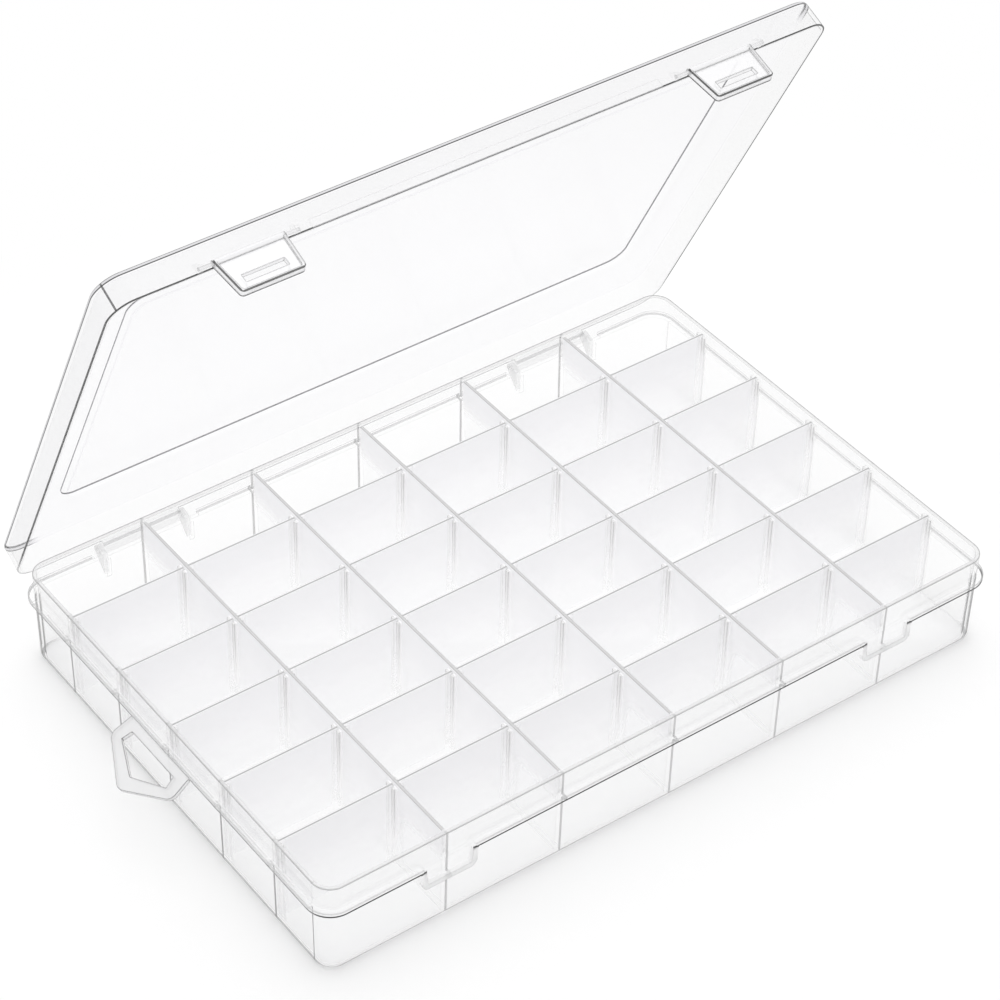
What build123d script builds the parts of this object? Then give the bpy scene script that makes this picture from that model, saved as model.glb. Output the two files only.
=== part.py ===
from build123d import *
from math import atan, degrees
import os

os.makedirs("parts", exist_ok=True)

# ---------------------------------------------------------------- driving dimensions (mm)
# Frame: X along the box, Y from front to back, Z up. The origin is the centre of the underside.

# grid of cells
columns = 6
rows = 6
column_pitch = 45.0
row_pitch = 31.0
end_rows = 2  # the front and the back row, which are less deep
end_row = 27.1  # from the last divider to the front or back wall
fixed_wall = 1.0  # thickness at the top of the walls between columns

# tray
tray_height = 37.0
wall = 1.4
floor = 1.4
draft = 0.5  # how far each side leans in over the height of the tray
corner_radius = 7.0  # outside, at the rim
bottom_fillet = 2.0
fixed_wall_drop = 0.3  # rim to the top of the fixed walls
flange_drop = 8.9  # rim to the top of the flange
flange_thickness = 1.5
flange_out = 2.1  # how far the flange stands out of the walls
wall_root = 0.7  # how deep ribs, ears and catches run into the wall that carries them

# loose dividers and the rib pairs that hold them
divider_thickness = 1.1
divider_drop = 1.5  # rim to the top of the dividers
divider_lead = 1.0  # chamfer at the two lower corners
divider_gap = 0.3
rib_width = 1.4
rib_out = 1.3
rib_drop = 2.0  # rim to the top of the ribs

# lid
skirt = 1.3
panel = 1.5
lid_seat_gap = 0.3  # flange to the free edge of the skirt
rim_clearance = 0.5  # rim to the underside of the panel
lid_draft = 0.3
lid_edge_fillet = 1.2
field_margin_side = 18.5
field_margin_front = 26.0
field_radius = 7.0
field_rise = 0.8
grip_length = 134.0
grip_height = 3.0
grip_out = 0.6
lid_open = 64.0  # degrees from closed, as the lid stands at rest

# hinges: a barrel on the lid with a stub pin at each end, held between two ears of the tray
hinge_x = 88.0
hinge_notch = 42.0
hinge_out = 2.2  # flange edge to the pin axis
hinge_below = 1.3  # top of the flange to the pin axis
hinge_radius = 2.0
hinge_pin_radius = 1.0
hinge_fit = 0.08
hinge_barrel = 31.0
hinge_side_gap = 0.3
ear_thickness = 1.8
ear_radius = 1.9
ear_foot = 7.5  # pin axis to the lower tip of an ear
ear_lip = 1.2  # how far the lower tip stands out of the wall

# latches
latch_x = 2 * column_pitch
latch_width = 25.6
latch_foot = 23.0  # width at the lower edge
latch_corner = 1.5
latch_thickness = 1.6
latch_reach = 14.3  # pin axis to the lower edge
latch_barrel_radius = 1.1
latch_rim = 1.0
latch_rim_out = 0.8
latch_gap = 0.4  # flange edge to the back of the latch
latch_pin_radius = 0.6
latch_pin_fit = 0.07
latch_pin_bare = 3.6  # bare pin between the latch and its lug
latch_pin_out = 1.9  # skirt face to the pin axis
latch_pin_above = 0.6  # free edge of the skirt to the pin axis
lug_radius = 1.15
lug_thickness = 1.5
lug_height = 2.6
latch_open = 13.0  # degrees out from closed, as the latches stand at rest

# catches under the two gaps of the front flange
catch_notch = 20.0
catch_width = 18.6
catch_drop = 8.0  # underside of the flange to the underside of the catch
catch_thickness = 2.0
catch_back = 0.2  # how far the catch stays behind the flange edge
catch_bend = 1.6
hook_width = 15.2
hook_height = 2.4
hook_under = 1.8  # how far the hook reaches under the catch
hook_gap = 0.3
hook_window = 3.0  # height of the opening in the latch above its hook

# hang loop on the left side of the flange, on a thin film hinge
loop_root = 35.0
loop_shoulder = (8.0, 18.5)
loop_tip = 18.5
loop_band = 5.0
loop_inner_root = 2.6
loop_tip_band = 5.75  # tip of the loop to the tip of its window
loop_window_in = 1.5  # how much nearer to the fold the shoulders of the window are
loop_gap = 0.3
loop_corner = 3.5
loop_droop = 30.0  # degrees below level, as the loop hangs at rest

# ---------------------------------------------------------------- derived places
half_cells = columns * column_pitch / 2
inner_length = 2 * half_cells - fixed_wall
inner_depth = (rows - end_rows) * row_pitch + end_rows * end_row
rim_length = inner_length + 2 * wall
rim_depth = inner_depth + 2 * wall
length = rim_length + 2 * flange_out
depth = rim_depth + 2 * flange_out
draft_angle = degrees(atan(draft / tray_height))
flange_top = tray_height - flange_drop
flange_bottom = flange_top - flange_thickness
flange_radius = corner_radius + flange_out
wall_xs = [(i - columns / 2) * column_pitch for i in range(1, columns)]
column_xs = [(i + 0.5 - columns / 2) * column_pitch for i in range(columns)]
divider_ys = [(j - (rows - end_rows) / 2) * row_pitch for j in range(rows - 1)]
slot = divider_thickness + 2 * divider_gap

lid_bottom = flange_top + lid_seat_gap
panel_bottom = tray_height + rim_clearance
lid_height = panel_bottom + panel - lid_bottom

hinge_y = depth / 2 + hinge_out
hinge_z = flange_top - hinge_below
lid_axis = Axis((0, hinge_y, hinge_z), (-1, 0, 0))
latch_y = -(depth / 2 + latch_pin_out)
latch_z = lid_bottom + latch_pin_above
latch_axis = Axis((0, latch_y, latch_z), (-1, 0, 0))
catch_bottom = flange_bottom - catch_drop
catch_face = -(depth / 2 - catch_back)
loop_thickness = flange_thickness
loop_x = -(length / 2 + loop_gap + loop_thickness / 2)
loop_z = flange_bottom + flange_thickness / 2
loop_axis = Axis((loop_x, 0, loop_z), (0, 1, 0))


def inset_at(height):
    """How far a drafted tray wall has leaned in at this height above the underside."""
    return draft * (1 - height / tray_height)


def drafted_block(base, top, size_x, size_y, radius, angle, mode=Mode.ADD):
    """A rounded block from one level up to another. Its plan size is given at the base."""
    with BuildSketch(Plane.XY.offset(base)) as plan:
        RectangleRounded(size_x, size_y, radius)
    extrude(plan.sketch, amount=top - base, taper=angle, mode=mode)


def tray_block(base, size_x, size_y, radius, mode):
    """A block that widens up to the rim, where it has the given plan size."""
    inset = inset_at(base)
    x, y, r = size_x - 2 * inset, size_y - 2 * inset, radius - inset
    drafted_block(base, tray_height, x, y, r, -draft_angle, mode)


def hinge_ear(x):
    """One ear on the back wall: a boss around the pin with a gusset down the wall."""
    root_y = rim_depth / 2 - inset_at(hinge_z) - wall_root
    with BuildSketch(Plane.YZ.offset(x - ear_thickness / 2)) as side:
        with Locations((hinge_y, hinge_z)):
            Circle(ear_radius)
        with Locations((root_y, hinge_z - ear_foot / 2)):
            Rectangle(2 * ear_lip, ear_foot)
        make_hull()
        with Locations((hinge_y, hinge_z)):
            Circle(hinge_pin_radius + hinge_fit, mode=Mode.SUBTRACT)
    extrude(side.sketch, amount=ear_thickness)


def catch(x):
    """A band that dips from the flange, under the gap, to hold the hook of a latch."""
    half_top, half_low = catch_notch / 2, catch_width / 2
    top, level = flange_top - flange_thickness / 2, catch_bottom + catch_thickness / 2
    reach = flange_out - catch_back + wall_root
    with BuildSketch(Plane.XZ.offset(-catch_face - reach)) as front:
        with BuildLine() as path:
            Polyline((x - half_top, top), (x - half_low, level), (x + half_low, level), (x + half_top, top))
            fillet(path.vertices().group_by(Axis.Z)[0], catch_bend)
        trace(line_width=catch_thickness)
    extrude(front.sketch, amount=reach)


# ---------------------------------------------------------------- tray
with BuildPart() as tray:
    tray_block(0, rim_length, rim_depth, corner_radius, Mode.ADD)
    fillet(tray.faces().sort_by(Axis.Z)[0].edges(), bottom_fillet)
    tray_block(floor, inner_length, inner_depth, corner_radius - wall, Mode.SUBTRACT)

    # walls between the columns, thicker at the foot by the draft
    wall_height = tray_height - fixed_wall_drop - floor
    with BuildSketch(Plane.XY.offset(floor)):
        with Locations([(x, 0) for x in wall_xs]):
            Rectangle(fixed_wall + 2 * inset_at(floor), inner_depth + wall - 2 * inset_at(floor))
    extrude(amount=wall_height, taper=draft_angle)

    # rib pairs beside each divider, on both faces of every wall it meets
    rib_ys = [y + side * (slot + rib_width) / 2 for y in divider_ys for side in (-1, 1)]
    rib_reach = fixed_wall / 2 + rib_out
    end_x = half_cells - rib_reach / 2
    with BuildSketch(Plane.XY.offset(floor)):
        with Locations([(x, y) for x in wall_xs for y in rib_ys]):
            Rectangle(2 * rib_reach, rib_width)
        with Locations([(x, y) for x in (-end_x, end_x) for y in rib_ys]):
            Rectangle(rib_reach, rib_width)
    extrude(amount=tray_height - rib_drop - floor)

    # flange, open at the back for the hinges and at the front for the latch hooks
    with BuildSketch(Plane.XY.offset(flange_bottom)):
        RectangleRounded(length, depth, flange_radius)
        RectangleRounded(inner_length + wall, inner_depth + wall, corner_radius, mode=Mode.SUBTRACT)
        with Locations([(side * hinge_x, depth / 2) for side in (-1, 1)]):
            Rectangle(hinge_notch, 2 * flange_out, mode=Mode.SUBTRACT)
        with Locations([(side * latch_x, -depth / 2) for side in (-1, 1)]):
            Rectangle(catch_notch, 2 * flange_out, mode=Mode.SUBTRACT)
    extrude(amount=flange_thickness)

    ear_place = hinge_barrel / 2 + hinge_side_gap + ear_thickness / 2
    for side in (-1, 1):
        catch(side * latch_x)
        hinge_ear(side * hinge_x - ear_place)
        hinge_ear(side * hinge_x + ear_place)

# ---------------------------------------------------------------- dividers
divider_low = floor + divider_gap
divider_high = tray_height - divider_drop
half_high = column_pitch / 2 - fixed_wall / 2 - inset_at(divider_high) - divider_gap
half_low = column_pitch / 2 - fixed_wall / 2 - inset_at(divider_low) - divider_gap

dividers = {}
for c, x in enumerate(column_xs, start=1):
    for r, y in enumerate(divider_ys, start=1):
        with BuildPart() as divider:
            with BuildSketch(Plane.XZ.offset(-y - divider_thickness / 2)):
                with BuildLine():
                    Polyline(
                        (x - half_low, divider_low),
                        (x + half_low, divider_low),
                        (x + half_high, divider_high),
                        (x - half_high, divider_high),
                        close=True,
                    )
                make_face()
            extrude(amount=divider_thickness)
            chamfer(divider.faces().sort_by(Axis.Z)[0].edges().filter_by(Axis.Y), divider_lead)
        dividers[f"divider_column{c}_row{r}"] = divider.part

# ---------------------------------------------------------------- lid, drawn closed
with BuildPart() as lid:
    lid_angle = degrees(atan(lid_draft / lid_height))
    drafted_block(lid_bottom, lid_bottom + lid_height, length, depth, flange_radius, lid_angle)
    fillet(lid.faces().sort_by(Axis.Z)[-1].edges(), lid_edge_fillet)
    drafted_block(
        lid_bottom,
        panel_bottom,
        length - 2 * skirt,
        depth - 2 * skirt,
        flange_radius - skirt,
        lid_angle,
        Mode.SUBTRACT,
    )

    # raised field of the panel, hollow below, so that the wall stays even
    field_x = length - 2 * field_margin_side
    field_y = depth - 2 * field_margin_front
    with BuildSketch(Plane.XY.offset(panel_bottom + panel)):
        RectangleRounded(field_x, field_y, field_radius)
    extrude(amount=field_rise)
    with BuildSketch(Plane.XY.offset(panel_bottom)):
        RectangleRounded(field_x - 2 * panel, field_y - 2 * panel, field_radius - panel)
    extrude(amount=field_rise, mode=Mode.SUBTRACT)

    # grip band on the front skirt, between the latches
    with BuildSketch(Plane.XY.offset(lid_bottom)):
        with Locations((0, -depth / 2)):
            Rectangle(grip_length, 2 * grip_out)
    extrude(amount=grip_height)

    # hinge barrels, each on a web that drops from the back skirt
    for side in (-1, 1):
        with BuildSketch(Plane.YZ.offset(side * hinge_x - hinge_barrel / 2)):
            with Locations((hinge_y, hinge_z)):
                Circle(hinge_radius)
            with Locations((depth / 2 - skirt / 2, lid_bottom + skirt / 2)):
                Rectangle(skirt, skirt)
            make_hull()
        extrude(amount=hinge_barrel)
        pin_length = hinge_barrel + 2 * (hinge_side_gap + ear_thickness)
        with BuildSketch(Plane.YZ.offset(side * hinge_x - pin_length / 2)):
            with Locations((hinge_y, hinge_z)):
                Circle(hinge_pin_radius)
        extrude(amount=pin_length)

    # lugs for the latch pins
    lug_place = latch_width / 2 + latch_pin_bare + lug_thickness / 2
    for x in [side * latch_x + end * lug_place for side in (-1, 1) for end in (-1, 1)]:
        with BuildSketch(Plane.YZ.offset(x - lug_thickness / 2)):
            with Locations((latch_y, latch_z)):
                Circle(lug_radius)
            with Locations((-depth / 2 + skirt / 2, latch_z - lug_radius + lug_height)):
                Rectangle(skirt, 2 * (lug_height - lug_radius))
            make_hull()
            with Locations((latch_y, latch_z)):
                Circle(latch_pin_radius + latch_pin_fit, mode=Mode.SUBTRACT)
        extrude(amount=lug_thickness)

# ---------------------------------------------------------------- latches, drawn closed
def latch_plate(x, y, rim):
    """Outline of a latch, narrower at the foot, or the same outline drawn a rim further in."""
    top, foot, low = latch_width / 2 - rim, latch_foot / 2 - rim, latch_z - latch_reach + rim
    with BuildSketch(Plane.XZ.offset(-y)) as plate:
        with BuildLine() as outline:
            Polyline((x - top, latch_z), (x - foot, low), (x + foot, low), (x + top, latch_z))
            fillet(outline.vertices().group_by(Axis.Z)[0], latch_corner - rim / 2)
            Line((x - top, latch_z), (x + top, latch_z))
        make_face()
    return plate.sketch


latch_back = -(depth / 2 + latch_gap)
hook_top = catch_bottom - hook_gap
hook_tip = catch_face + hook_under

latches = {}
for name, x in (("latch_left", -latch_x), ("latch_right", latch_x)):
    with BuildPart() as latch:
        # plate, with a raised edge down both sides and along the bottom, for the finger
        extrude(latch_plate(x, latch_back, 0), amount=latch_thickness + latch_rim_out)
        face = latch_back - latch_thickness
        extrude(latch_plate(x, face, latch_rim), amount=latch_rim_out, mode=Mode.SUBTRACT)

        with BuildSketch(Plane.YZ.offset(x - latch_width / 2)):
            with Locations((latch_y, latch_z)):
                Circle(latch_barrel_radius)
        extrude(amount=latch_width)

        # hook, with a sloped underside
        with BuildSketch(Plane.YZ.offset(x - hook_width / 2)):
            with BuildLine():
                Polyline(
                    (latch_back - latch_thickness / 2, hook_top),
                    (hook_tip, hook_top),
                    (hook_tip, hook_top - hook_height / 3),
                    (latch_back, hook_top - hook_height),
                    (latch_back - latch_thickness / 2, hook_top - hook_height),
                    close=True,
                )
            make_face()
        extrude(amount=hook_width)

        # opening above the hook, as wide as the hook and down to its upper face
        with BuildSketch(Plane.XZ.offset(-latch_back)):
            with Locations((x, hook_top + hook_window / 2)):
                Rectangle(hook_width, hook_window)
        extrude(amount=latch_thickness, mode=Mode.SUBTRACT)

        latch_pin_length = latch_width + 2 * (latch_pin_bare + lug_thickness)
        with BuildSketch(Plane.YZ.offset(x - latch_pin_length / 2)):
            with Locations((latch_y, latch_z)):
                Circle(latch_pin_radius)
        extrude(amount=latch_pin_length)
    latches[name] = latch.part.rotate(latch_axis, latch_open).rotate(lid_axis, lid_open)

# ---------------------------------------------------------------- hang loop, drawn level
with BuildPart() as loop:
    shoulder_x, shoulder_y = loop_shoulder
    with BuildSketch(Plane.XY.offset(loop_z - loop_thickness / 2)):
        with BuildLine() as outline:
            Polyline(
                (loop_x, -loop_root / 2),
                (loop_x - shoulder_x, -shoulder_y),
                (loop_x - loop_tip, 0),
                (loop_x - shoulder_x, shoulder_y),
                (loop_x, loop_root / 2),
                close=True,
            )
        make_face()
        fillet(outline.vertices().sort_by(Axis.X)[:3], loop_corner)
    extrude(amount=loop_thickness)

    with BuildSketch(Plane.XY.offset(loop_z - loop_thickness / 2)):
        with BuildLine() as window:
            Polyline(
                (loop_x - loop_inner_root, loop_band - loop_root / 2),
                (loop_x - shoulder_x + loop_window_in, loop_band - shoulder_y),
                (loop_x - loop_tip + loop_tip_band, 0),
                (loop_x - shoulder_x + loop_window_in, shoulder_y - loop_band),
                (loop_x - loop_inner_root, loop_root / 2 - loop_band),
                close=True,
            )
        make_face()
    extrude(amount=loop_thickness, mode=Mode.SUBTRACT)

    # rounded root along the fold
    with BuildSketch(Plane.XZ.offset(-loop_root / 2)):
        with Locations((loop_x, loop_z)):
            Circle(loop_thickness / 2)
    extrude(amount=loop_root)

# ---------------------------------------------------------------- export
pieces = {
    "tray": tray.part,
    "lid": lid.part.rotate(lid_axis, lid_open),
    "hang_loop": loop.part.rotate(loop_axis, -loop_droop),
    **latches,
    **dividers,
}
for name, piece in pieces.items():
    piece.label = name
    export_step(piece, f"parts/{name}.step")
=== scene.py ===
import math

import bpy
from mathutils import Matrix, Vector

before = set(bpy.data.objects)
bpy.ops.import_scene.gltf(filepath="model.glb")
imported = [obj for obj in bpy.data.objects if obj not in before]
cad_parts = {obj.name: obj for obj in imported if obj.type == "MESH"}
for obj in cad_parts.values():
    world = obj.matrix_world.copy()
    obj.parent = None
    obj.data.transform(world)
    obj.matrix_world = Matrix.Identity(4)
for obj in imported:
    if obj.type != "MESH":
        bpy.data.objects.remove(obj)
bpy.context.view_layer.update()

# ---------------------------------------------------------------- the part's sizes, in millimetres
MM = 0.001
COLUMN_PITCH = 45.0
ROW_PITCH = 31.0
TRAY_TOP = 37.0
FLANGE = (138.0, 92.6, 9.1)  # a rounded outline seen from above: half length, half depth, corner radius
FIELD = (119.5, 66.6, 7.0)  # outline of the raised middle of the lid
HINGE_X = 88.0
LID_OPEN = math.radians(64.0)
LATCH_OPEN = math.radians(13.0)
LATCH_HALF_WIDTH = 12.8  # at the pins
LATCH_TAPER = 0.091  # how much the half width shrinks on each millimetre down
LATCH_REACH = 14.3  # pins to the lower edge
CATCH_HALF_WIDTH = 10.5  # with a little to spare


def inset(outline, distance):
    """A rounded outline that lies this much further in, all round."""
    return tuple(size - distance for size in outline)


# places worked out from the sizes, as they are with the lid closed
RIM = inset(FLANGE, 2.1)
CELLS = inset(RIM, 2.2)  # just inside the walls, which lean in towards the floor
LAST_WALL = 2 * COLUMN_PITCH
LAST_ROW = 2 * ROW_PITCH
OUTER_X = RIM[0] - 1.0  # between the inner and outer faces of the side walls
OUTER_Y = RIM[1] - 1.1  # the same for the front and back walls
CORNER_Y = 83.6  # where the side walls turn into the corners
CELL_FLOOR = 2.0  # just over the tray's floor plate
WALL_TOP = TRAY_TOP - 0.3
DIVIDER_TOP = TRAY_TOP - 1.5
FLANGE_TOP = TRAY_TOP - 8.9
FLANGE_BOTTOM = FLANGE_TOP - 1.5
LID_BOTTOM = FLANGE_TOP + 0.3
LID_SHOULDER = TRAY_TOP + 0.8  # where the lid's skirt starts to round over into its panel
FIELD_TOP = TRAY_TOP + 2.8
HINGE_Y = FLANGE[1] + 2.2
HINGE_Z = FLANGE_TOP - 1.3
LATCH_X = LAST_WALL
LATCH_Y = -FLANGE[1] - 1.9
LATCH_Z = LID_BOTTOM + 0.6

# ---------------------------------------------------------------- camera, solved from the photograph
IMAGE_SIZE = 1000
FOCAL_PIXELS = 3327.8
PRINCIPAL_POINT = (450.0, 458.0)
SENSOR_WIDTH = 36.0
CAMERA_AZIMUTH = math.radians(-35.984)
CAMERA_ELEVATION = math.radians(40.030)
CAMERA_ROLL = math.radians(0.744)
CAMERA_DISTANCE = 1.1938
CAMERA_TARGET = Vector((0.02741, 0.07232, 0.020))


def make_camera():
    """A camera that looks at the target from the photograph's side, rolled about its own axis."""
    data = bpy.data.cameras.new("camera")
    camera = bpy.data.objects.new("camera", data)
    bpy.context.scene.collection.objects.link(camera)
    back = Vector((
        math.sin(CAMERA_AZIMUTH) * math.cos(CAMERA_ELEVATION),
        -math.cos(CAMERA_AZIMUTH) * math.cos(CAMERA_ELEVATION),
        math.sin(CAMERA_ELEVATION),
    ))
    right = Vector((0, 0, 1)).cross(back).normalized()
    up = back.cross(right)
    rolled_right = math.cos(CAMERA_ROLL) * right + math.sin(CAMERA_ROLL) * up
    rolled_up = back.cross(rolled_right)
    turn = Matrix((rolled_right, rolled_up, back)).transposed().to_4x4()
    camera.matrix_world = Matrix.Translation(CAMERA_TARGET + back * CAMERA_DISTANCE) @ turn
    data.sensor_width = SENSOR_WIDTH
    data.lens = FOCAL_PIXELS / IMAGE_SIZE * SENSOR_WIDTH
    data.shift_x = (IMAGE_SIZE / 2 - PRINCIPAL_POINT[0]) / IMAGE_SIZE
    data.shift_y = (PRINCIPAL_POINT[1] - IMAGE_SIZE / 2) / IMAGE_SIZE
    data.clip_start = 0.01
    data.clip_end = 50.0
    bpy.context.scene.camera = camera


# ---------------------------------------------------------------- node helpers
class Nodes:
    """A material's node tree, with short calls that add a node and link its inputs.

    A mask is 1 where something is, 0 where it isn't and in between on its soft border.
    Lengths are in millimetres.
    """

    def __init__(self, tree):
        self.tree = tree

    def add(self, kind, **inputs):
        node = self.tree.nodes.new(kind)
        for name, value in inputs.items():
            self.set(node.inputs[name.replace("_", " ")], value)
        return node

    def set(self, socket, value):
        if isinstance(value, bpy.types.NodeSocket):
            self.tree.links.new(value, socket)
        else:
            socket.default_value = value

    def math(self, operation, *values, clamp=False):
        node = self.tree.nodes.new("ShaderNodeMath")
        node.operation = operation
        node.use_clamp = clamp
        for socket, value in zip(node.inputs, values):
            self.set(socket, value)
        return node.outputs[0]

    def vector_math(self, operation, a, b):
        node = self.tree.nodes.new("ShaderNodeVectorMath")
        node.operation = operation
        self.set(node.inputs[0], a)
        self.set(node.inputs[1], b)
        return node.outputs

    def remap(self, value, low, high, to_low=0.0, to_high=1.0):
        node = self.tree.nodes.new("ShaderNodeMapRange")
        node.interpolation_type = "SMOOTHSTEP"
        for socket, number in zip(node.inputs, (value, low, high, to_low, to_high)):
            self.set(socket, number)
        return node.outputs[0]

    def mix(self, factor, a, b):
        node = self.tree.nodes.new("ShaderNodeMix")
        for socket, value in zip(node.inputs[0:1] + node.inputs[2:4], (factor, a, b)):
            self.set(socket, value)
        return node.outputs[0]

    def mix_colour(self, factor, a, b):
        node = self.tree.nodes.new("ShaderNodeMix")
        node.data_type = "RGBA"
        for socket, value in zip(node.inputs[0:1] + node.inputs[6:8], (factor, a, b)):
            self.set(socket, value)
        return node.outputs[2]

    def mix_shader(self, factor, a, b):
        node = self.tree.nodes.new("ShaderNodeMixShader")
        for socket, value in zip(node.inputs, (factor, a, b)):
            self.set(socket, value)
        return node.outputs[0]

    def plus(self, a, b):
        return self.math("ADD", a, b)

    def minus(self, a, b):
        return self.math("SUBTRACT", a, b)

    def times(self, a, b):
        return self.math("MULTIPLY", a, b)

    def away(self, value):
        return self.math("ABSOLUTE", value)

    def over(self, value, limit, soft=0.06):
        """The mask of where the value is over the limit."""
        return self.remap(value, limit - soft, limit + soft)

    def under(self, value, limit, soft=0.06):
        """The mask of where the value is under the limit."""
        return self.remap(value, limit + soft, limit - soft)

    def between(self, value, low, high):
        return self.both(self.over(value, low), self.under(value, high))

    def both(self, *masks):
        """Where all the masks meet."""
        product = masks[0]
        for mask in masks[1:]:
            product = self.times(product, mask)
        return product

    def either(self, a, b):
        return self.math("MAXIMUM", a, b)

    def opposite(self, mask):
        return self.minus(1.0, mask)

    def near(self, value, pitch):
        """Distance from the nearest line of a grid."""
        line = self.times(self.math("ROUND", self.math("DIVIDE", value, pitch)), pitch)
        return self.away(self.minus(value, line))

    def outline(self, x, y, half_x, half_y, radius):
        """Distance outside a rounded rectangle, negative inside it."""
        out_x = self.minus(self.away(x), half_x - radius)
        out_y = self.minus(self.away(y), half_y - radius)
        squares = [self.math("POWER", self.math("MAXIMUM", v, 0.0), 2.0) for v in (out_x, out_y)]
        corner = self.math("SQRT", self.plus(*squares))
        side = self.math("MINIMUM", self.math("MAXIMUM", out_x, out_y), 0.0)
        return self.minus(self.plus(corner, side), radius)

    def turned(self, a, b, angle):
        """The two coordinates of a point, turned by the angle from the first axis to the second."""
        cos, sin = math.cos(angle), math.sin(angle)
        turned_a = self.minus(self.times(a, cos), self.times(b, sin))
        turned_b = self.plus(self.times(a, sin), self.times(b, cos))
        return turned_a, turned_b

    def place(self):
        """The x, y and z of the point on the piece, which move with it."""
        metres = self.add("ShaderNodeTexCoord").outputs["Object"]
        millimetres = self.vector_math("DIVIDE", metres, (MM, MM, MM))["Vector"]
        return self.add("ShaderNodeSeparateXYZ", Vector=millimetres).outputs

    def place_on_lid(self):
        """The x, y and z of the point as if the lid, which stands open at rest, were closed."""
        x, y, z = self.place()
        reach, rise = self.turned(self.minus(y, HINGE_Y), self.minus(z, HINGE_Z), LID_OPEN)
        return x, self.plus(reach, HINGE_Y), self.plus(rise, HINGE_Z)

    def aslant(self, start, end):
        """0 on plastic seen face on, rising to 1 where it turns away from sight. It masks the painted
        darkening that stands in for the refraction of clear plastic there.
        """
        return self.remap(self.add("ShaderNodeLayerWeight", Blend=0.5).outputs["Facing"], start, end)

    def edge(self, radius, start=0.97, full=0.80):
        """0 on a flat face, rising to 1 within this distance of an edge."""
        bevel = self.add("ShaderNodeBevel", Radius=radius * MM)
        bevel.samples = 4
        flat = self.add("ShaderNodeNewGeometry").outputs["True Normal"]
        return self.remap(self.vector_math("DOT_PRODUCT", bevel.outputs[0], flat)["Value"], start, full)


class Look:
    """How much of the plastic is seen at a point, and its colour, built up in layers."""

    def __init__(self, n, cover, colour):
        self.n = n
        self.cover = cover
        self.colour = colour

    def lay(self, mask, cover, colour):
        """Take this cover and colour where the mask is 1."""
        self.cover = self.n.mix(mask, self.cover, cover)
        self.colour = self.n.mix_colour(mask, self.colour, colour)

    def draw(self, mask, cover, colour):
        """Add a line: its cover is laid over what is there, and its colour shows as far as it covers."""
        strength = self.n.times(mask, cover)
        self.cover = self.n.math("MAXIMUM", self.cover, strength)
        self.colour = self.n.mix_colour(strength, self.colour, colour)


def grey(level, blue=0.0):
    """A grey that leans a little towards blue."""
    return (level - blue, level - 1.2 * blue, level, 1.0)


def new_material(name):
    material = bpy.data.materials.new(name)
    material.use_nodes = True
    material.node_tree.nodes.clear()
    return material, Nodes(material.node_tree)


def finish_plastic(material, look, shade=0.0, polish=1.0):
    """Clear plastic that shows a look, and mirrors a little of the studio on its outer side.

    Light passes almost freely, apart from the shade that the plastic throws.
    """
    n = look.n
    path = n.add("ShaderNodeLightPath")
    light = n.either(path.outputs["Is Shadow Ray"], path.outputs["Is Diffuse Ray"])
    thrown = n.math("MAXIMUM", n.times(look.cover, 0.08), shade)
    solid = n.add("ShaderNodeBsdfPrincipled", Base_Color=look.colour, Roughness=0.35, IOR=1.49)
    through = n.add("ShaderNodeBsdfTransparent", Color=(1, 1, 1, 1))
    body = n.mix_shader(n.mix(light, look.cover, thrown), through.outputs[0], solid.outputs[0])
    gloss = n.add("ShaderNodeBsdfAnisotropic", Roughness=0.12)
    backfacing = n.add("ShaderNodeNewGeometry").outputs["Backfacing"]
    outer_side = n.math("SUBTRACT", polish, backfacing, clamp=True)
    mirror = n.both(n.add("ShaderNodeFresnel", IOR=1.49).outputs[0], outer_side, n.opposite(light))
    output = n.add("ShaderNodeOutputMaterial")
    n.set(output.inputs["Surface"], n.mix_shader(mirror, body, gloss.outputs[0]))
    return material


# ---------------------------------------------------------------- lid, latches and hang loop
def lid_plastic(name):
    """The lid: very clear, with dark lines along its edges and a faint haze in its skirt."""
    material, n = new_material(name)
    x, y, z = n.place_on_lid()
    out = n.outline(x, y, *FLANGE)
    front_or_left = n.either(n.under(y, -80.0, 4.0), n.under(x, -125.0, 4.0))
    tint = (0.80, 0.78, 0.86, 1.0)
    look = Look(n, 0.07, tint)
    look.lay(n.both(n.over(out, -1.6), n.under(z, LID_SHOULDER - 0.4)), 0.12, grey(0.80, 0.006))
    border = n.over(out, -6.0)
    look.draw(n.both(border, n.edge(0.5)), 0.30, grey(0.30))
    # painted refraction darkening where the lid's border turns away from sight
    look.draw(n.both(border, n.aslant(0.86, 0.97)), 0.75, grey(0.22))

    step = n.both(n.under(n.away(n.outline(x, y, *FIELD)), 0.25), n.over(z, FIELD_TOP - 0.45))
    look.draw(step, n.mix(n.under(x, -117.0, 4.0), 0.9, 1.0), grey(0.08))
    shoulder = n.both(n.over(z, LID_SHOULDER - 0.2), n.over(out, -1.3))
    look.draw(shoulder, n.mix(front_or_left, 0.05, 0.62), grey(0.40))
    top_line = n.both(n.over(z, LID_SHOULDER + 0.7), n.between(out, -1.0, -0.5))
    low_line = n.both(n.between(z, LID_SHOULDER - 0.4, LID_SHOULDER), n.over(out, -0.6))
    look.draw(n.either(top_line, low_line), n.mix(front_or_left, 0.06, 1.0), grey(0.04))
    free_edge = n.both(n.under(z, LID_BOTTOM + 0.35), n.between(out, -0.6, 0.1))
    look.draw(free_edge, n.mix(n.over(y, 80.0, 8.0), 1.0, 0.5), grey(0.03))
    draw_lid_corners(look, x, y, out)

    barrel = n.both(n.over(y, FLANGE[1] + 0.3), n.under(z, LID_BOTTOM + 1.0))
    look.draw(barrel, 0.20, grey(0.72))
    return finish_plastic(material, look, polish=0.4)


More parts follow.
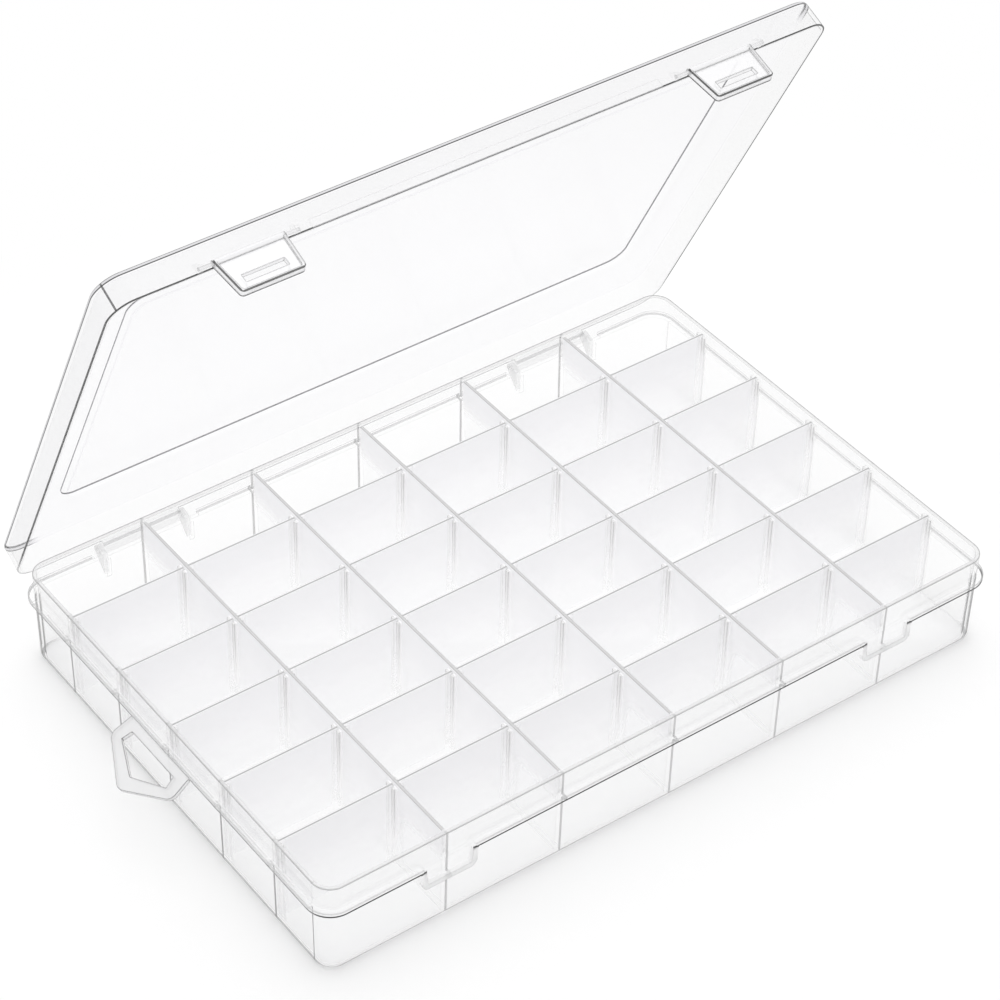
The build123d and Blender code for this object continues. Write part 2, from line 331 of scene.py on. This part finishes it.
def draw_lid_corners(look, x, y, out):
    """The dark line down the front left corner, and the dark turn of the front right one, which is painted
    refraction darkening where the plastic turns away from sight.
    """
    n = look.n
    left_corner = n.both(n.under(x, 6.0 - FLANGE[0]), n.under(y, 3.5 - FLANGE[1]), n.over(out, -0.6))
    from_diagonal = n.away(n.minus(n.plus(n.away(x), y), FLANGE[0] - FLANGE[1]))
    look.draw(n.both(left_corner, n.under(from_diagonal, 0.5)), 0.9, grey(0.03))
    right_corner = n.both(n.over(x, FLANGE[0] - 9.0), n.under(y, 9.0 - FLANGE[1]))
    # painted refraction darkening on the front right corner
    look.draw(n.both(right_corner, n.aslant(0.70, 0.92)), 1.0, grey(0.05))


def latch_plastic(name):
    """The latches: clear, with dark lines along the edges, painted fainter on the right side where light
    falls on them. They stand a little out from the lid at rest.
    """
    material, n = new_material(name)
    x, y, z = n.place_on_lid()
    quarter_turn = math.radians(90.0)
    down, out = n.turned(n.minus(LATCH_Y, y), n.minus(z, LATCH_Z), quarter_turn - LATCH_OPEN)
    across = n.minus(x, n.times(n.math("SIGN", x), LATCH_X))
    past_side = n.minus(n.away(across), n.minus(LATCH_HALF_WIDTH, n.times(down, LATCH_TAPER)))
    past_low_edge = n.minus(down, LATCH_REACH)
    rim = n.both(n.over(n.math("MAXIMUM", past_side, past_low_edge), -0.6), n.over(down, -0.3))
    # painted light: the lines along the right side are drawn fainter, as if lit
    lit_right_side = n.both(n.over(across, 11.0), n.under(past_low_edge, -1.0))
    strength = n.mix(lit_right_side, 1.0, 0.4)
    look = Look(n, 0.65, grey(0.94, 0.010))
    look.draw(n.edge(0.7, 0.99, 0.90), 0.85, grey(0.10))
    look.draw(n.both(rim, n.under(out, -1.1)), strength, grey(0.01))
    look.draw(n.both(rim, n.over(out, 0.6)), strength, grey(0.05))
    return finish_plastic(material, look, shade=0.1)


def loop_plastic(name):
    """The hang loop: thin and frosted, with a dark line along its edges."""
    material, n = new_material(name)
    look = Look(n, 0.60, grey(0.84, 0.006))
    look.draw(n.edge(0.6, 0.99, 0.92), 1.0, grey(0.03))
    return finish_plastic(material, look, shade=0.2)


# ---------------------------------------------------------------- tray and dividers
def haze_and_painted_shade(n, z):
    """Cell walls are a little hazy, and their colour is painted shade: grey towards the top and white
    towards the foot, as the light thrown up from the floor would make them.
    """
    cover = n.remap(z, 6.0, 35.0, 0.28, 0.86)
    return cover, n.mix_colour(n.remap(z, 14.0, 38.0), grey(1.0, 0.014), grey(0.955, 0.014))


class TrayPlace:
    """Where a point of the tray lies. It is shown where the photograph sees the wall from outside."""

    def __init__(self, n):
        self.x, self.y, self.z = n.place()
        self.wide, self.deep = n.away(self.x), n.away(self.y)
        self.out = n.outline(self.x, self.y, *FLANGE)
        self.from_wall = n.near(self.x, COLUMN_PITCH)
        self.from_row = n.near(self.y, ROW_PITCH)
        self.by_rows = n.under(self.deep, LAST_ROW + 13.0)
        self.off_floor = n.over(self.z, CELL_FLOOR, 0.5)
        self.inside = n.under(n.outline(self.x, self.y, *CELLS), 0.0)
        self.outside = n.opposite(self.inside)
        self.shown = n.either(n.under(self.y, -84.0, 4.0), n.under(self.x, -128.0, 6.0))


def lay_cells(look, at):
    """The floor plate, and the hazy cell walls with their painted shade. The low parts of the front and
    back rows are clear.
    """
    n = look.n
    look.lay(n.both(at.inside, n.under(at.z, CELL_FLOOR)), 0.35, grey(0.99, 0.008))
    # haze on the cell walls, with painted shade: grey at the top, white at the foot
    cover, colour = haze_and_painted_shade(n, at.z)
    clear = n.both(n.over(at.deep, LAST_ROW + 4.0, 4.0), n.under(at.z, 25.0, 5.0))
    look.lay(n.both(at.inside, at.off_floor), n.mix(clear, cover, 0.06), colour)


def draw_outer_edges(look, at):
    """A faint line along the edges of the outer walls, and a dark one down each rounded corner, painted
    where the plastic turns away from sight to stand in for refraction.
    """
    n = look.n
    look.draw(n.both(n.edge(0.5), at.outside), 0.30, grey(0.40))
    corners = n.both(n.over(at.wide, RIM[0] - RIM[2]), n.over(at.deep, RIM[1] - RIM[2]))
    below_flange = n.between(at.z, CELL_FLOOR, FLANGE_BOTTOM - 0.1)
    # painted refraction darkening down the rounded corners
    look.draw(n.both(corners, n.aslant(0.56, 0.76), at.outside, below_flange), 0.85, grey(0.12))


def draw_ribs(look, at):
    """The rib pairs, which fade towards their foot and where they are seen through the side walls. Their
    fade from grey to white towards the foot is painted shade, as on the cell walls.
    """
    n = look.n
    through_side = n.both(n.over(at.wide, 130.0), n.under(at.z, 28.0, 2.0))
    seen = n.opposite(n.times(through_side, 0.8))
    rib = n.both(n.between(at.from_wall, 1.05, 2.0), at.by_rows, at.off_floor, seen)
    # painted shade: the ribs run from grey at the top to white at the foot
    fade = n.remap(at.z, 4.0, 34.0)
    look.lay(rib, n.mix(fade, 0.25, 0.70), n.mix_colour(fade, grey(0.98), grey(0.84)))
    flanks = n.either(n.under(at.from_row, 1.05), n.over(at.from_row, 2.05))
    look.draw(n.both(rib, n.over(at.from_wall, 1.5), flanks), n.mix(fade, 0.1, 0.75), grey(0.40))


def draw_tops(look, at):
    """The tops of the fixed walls, and the rim with a darker line along its outer edge."""
    n = look.n
    middle = n.under(at.from_wall, 0.25, 0.15)
    look.draw(n.both(at.inside, n.over(at.z, WALL_TOP - 0.25)), n.mix(middle, 1.0, 0.7), grey(0.50))
    rim = n.over(at.z, TRAY_TOP - 0.3)
    look.draw(n.both(at.outside, rim), 0.50, grey(0.58))
    look.draw(n.both(rim, n.over(n.outline(at.x, at.y, *RIM), -0.4)), 0.85, grey(0.34))


def draw_joints(look, at):
    """The dark lines where fixed walls and divider rows meet the outer walls, and beside the corners."""
    n = look.n
    front_or_back = n.both(n.over(at.deep, OUTER_Y), n.under(at.wide, LAST_WALL + 10.0))
    look.draw(n.both(n.under(at.from_wall, 0.45), front_or_back), 0.75, grey(0.32))
    side_wall = n.over(at.wide, OUTER_X)
    row_line = n.both(n.under(at.from_row, 0.5), side_wall, at.by_rows)
    corner_line = n.both(n.under(n.away(n.minus(at.deep, CORNER_Y)), 0.25), side_wall)
    above_flange = n.remap(at.x, -1.0, 1.0, 0.30, 0.12)
    below_flange = n.remap(at.x, -1.0, 1.0, 0.85, 0.35)
    strength = n.mix(n.under(at.z, FLANGE_BOTTOM), above_flange, below_flange)
    look.draw(n.either(row_line, corner_line), strength, grey(0.10))


def draw_foot_and_flange(look, at):
    """The line along the foot of the outer walls, and the lines along both edges of the flange."""
    n = look.n
    look.draw(n.both(n.between(at.z, 0.15, 0.8), at.outside), n.mix(at.shown, 0.08, 0.80), grey(0.26))
    flange_edge = n.both(n.over(at.out, -0.5), n.over(at.z, FLANGE_BOTTOM - 0.6))
    low_line = n.both(flange_edge, n.under(at.z, FLANGE_BOTTOM + 0.65))
    strength = n.mix(n.under(at.y, -86.0, 3.0), 0.65, 1.0)
    look.draw(low_line, n.mix(at.shown, 0.5, strength), grey(0.02))
    high_line = n.both(flange_edge, n.over(at.z, FLANGE_TOP - 0.25))
    look.draw(high_line, n.mix(at.shown, 0.3, 0.6), grey(0.30))


def draw_catches_and_ears(look, at):
    """The catches under the gaps of the front flange, and the hinge ears on the back wall."""
    n = look.n
    from_catch = n.away(n.minus(at.wide, LATCH_X))
    under_flange = n.both(n.under(at.y, -RIM[1] - 0.3), n.under(at.z, FLANGE_BOTTOM - 0.2))
    catch = n.both(n.under(from_catch, CATCH_HALF_WIDTH), under_flange)
    look.draw(catch, 0.50, grey(0.74))
    look.draw(n.both(catch, n.edge(0.5)), 0.7, grey(0.20))
    from_hinge = n.away(n.minus(at.wide, HINGE_X))
    behind_wall = n.both(n.over(at.y, RIM[1] + 0.2), n.under(at.z, FLANGE_TOP + 0.7))
    look.draw(n.both(n.between(from_hinge, 15.5, 18.0), behind_wall), 0.45, grey(0.80))


def tray_plastic(name):
    """The tray: a clear shell with dark lines along its flange, round hazy cell walls with painted shade.
    """
    material, n = new_material(name)
    at = TrayPlace(n)
    look = Look(n, n.mix(n.over(at.z, FLANGE_TOP), 0.04, 0.10), grey(0.86, 0.006))
    off_ground = n.either(at.shown, n.over(at.z, 5.0))
    # painted refraction darkening where the shell turns away from sight
    look.draw(n.both(n.aslant(0.80, 0.95), off_ground), 0.60, grey(0.25))
    lay_cells(look, at)
    draw_outer_edges(look, at)
    draw_ribs(look, at)
    draw_tops(look, at)
    draw_joints(look, at)
    draw_foot_and_flange(look, at)
    draw_catches_and_ears(look, at)
    shade = n.both(n.mix(at.shown, 0.5, 1.0), n.remap(at.z, 4.0, 12.0, 0.62, 0.18))
    shade = n.both(at.outside, n.over(at.z, 0.4), shade)
    return finish_plastic(material, look, shade, polish=n.mix(at.inside, 0.8, 0.1))


def divider_plastic(name):
    """The loose dividers: hazy, with the same painted shade as the walls, grey at the top and white at the
    foot, and a thin grey line along the top edge.
    """
    material, n = new_material(name)
    x, y, z = n.place()
    # haze with painted shade, grey at the top and white at the foot, as on the cell walls
    look = Look(n, *haze_and_painted_shade(n, z))
    from_wall = n.near(x, COLUMN_PITCH)
    held = n.under(from_wall, 3.4, 0.6)
    look.cover = n.times(look.cover, n.opposite(n.times(held, 0.55)))
    # the line at each end is fainter towards the foot, following the painted shade of the walls
    look.draw(n.under(from_wall, 1.0), n.remap(z, 4.0, 34.0, 0.2, 0.6), grey(0.50))
    top = n.over(z, DIVIDER_TOP - 0.08, 0.04)
    middle = n.under(n.near(y, ROW_PITCH), 0.3, 0.1)
    look.draw(top, n.mix(middle, 0.5, 1.0), n.mix_colour(middle, grey(0.90), grey(0.42)))
    return finish_plastic(material, look, polish=0.1)


# ---------------------------------------------------------------- light and floor
def make_world():
    """Even light from all sides. The camera sees a white backdrop in its place, also by reflection."""
    world = bpy.data.worlds.new("studio")
    bpy.context.scene.world = world
    world.use_nodes = True
    n = Nodes(world.node_tree)
    n.tree.nodes.clear()
    path = n.add("ShaderNodeLightPath")
    seen = n.either(path.outputs["Is Camera Ray"], path.outputs["Is Glossy Ray"])
    seen = n.either(seen, path.outputs["Is Transmission Ray"])
    light = n.add("ShaderNodeBackground", Color=(1, 1, 1, 1), Strength=0.965)
    backdrop = n.add("ShaderNodeBackground", Color=(1, 1, 1, 1), Strength=1.0)
    output = n.add("ShaderNodeOutputWorld")
    n.set(output.inputs["Surface"], n.mix_shader(seen, light.outputs[0], backdrop.outputs[0]))


def make_lamp(name, place, target, size, power):
    """A soft square lamp that faces the target."""
    data = bpy.data.lights.new(name, "AREA")
    data.shape = "SQUARE"
    data.size = size
    data.energy = power
    lamp = bpy.data.objects.new(name, data)
    bpy.context.scene.collection.objects.link(lamp)
    lamp.location = place
    lamp.rotation_euler = (Vector(target) - Vector(place)).to_track_quat("-Z", "Y").to_euler()


def make_floor():
    """A pale matt floor. Past the object's shadow it shows the plain white of the backdrop."""
    bpy.ops.mesh.primitive_plane_add(size=8.0, location=(0, 0, 0))
    floor = bpy.context.object
    floor.name = "floor"
    material, n = new_material("floor")
    x, y, _ = n.place()
    seen = n.add("ShaderNodeLightPath").outputs["Is Camera Ray"]
    as_lit, as_seen = grey(0.85), grey(0.965)
    matte = n.add("ShaderNodeBsdfDiffuse", Color=n.mix_colour(seen, as_lit, as_seen))
    plain = n.add("ShaderNodeEmission", Color=(1, 1, 1, 1), Strength=1.0)
    shadow_reach, plain_from = 60.0, 200.0
    far = n.remap(n.outline(x, y, *FLANGE), shadow_reach, plain_from)
    output = n.add("ShaderNodeOutputMaterial")
    n.set(output.inputs["Surface"], n.mix_shader(n.both(seen, far), matte.outputs[0], plain.outputs[0]))
    floor.data.materials.append(material)


# ---------------------------------------------------------------- the scene
def dress(node, material):
    for material_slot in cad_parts[node].material_slots:
        material_slot.material = material


scene = bpy.context.scene
scene.view_settings.view_transform = "Standard"
scene.cycles.transparent_max_bounces = 64

make_camera()
make_world()
make_floor()
make_lamp("key", place=(0.25, 0.5, 1.3), target=(0, 0, 0), size=0.9, power=2.5)

dividers = divider_plastic("divider_plastic")
latches = latch_plastic("latch_plastic")
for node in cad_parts:
    if node.startswith("divider"):
        dress(node, dividers)
    if node.startswith("latch"):
        dress(node, latches)
dress("tray", tray_plastic("tray_plastic"))
dress("lid", lid_plastic("lid_plastic"))
dress("hang_loop", loop_plastic("loop_plastic"))
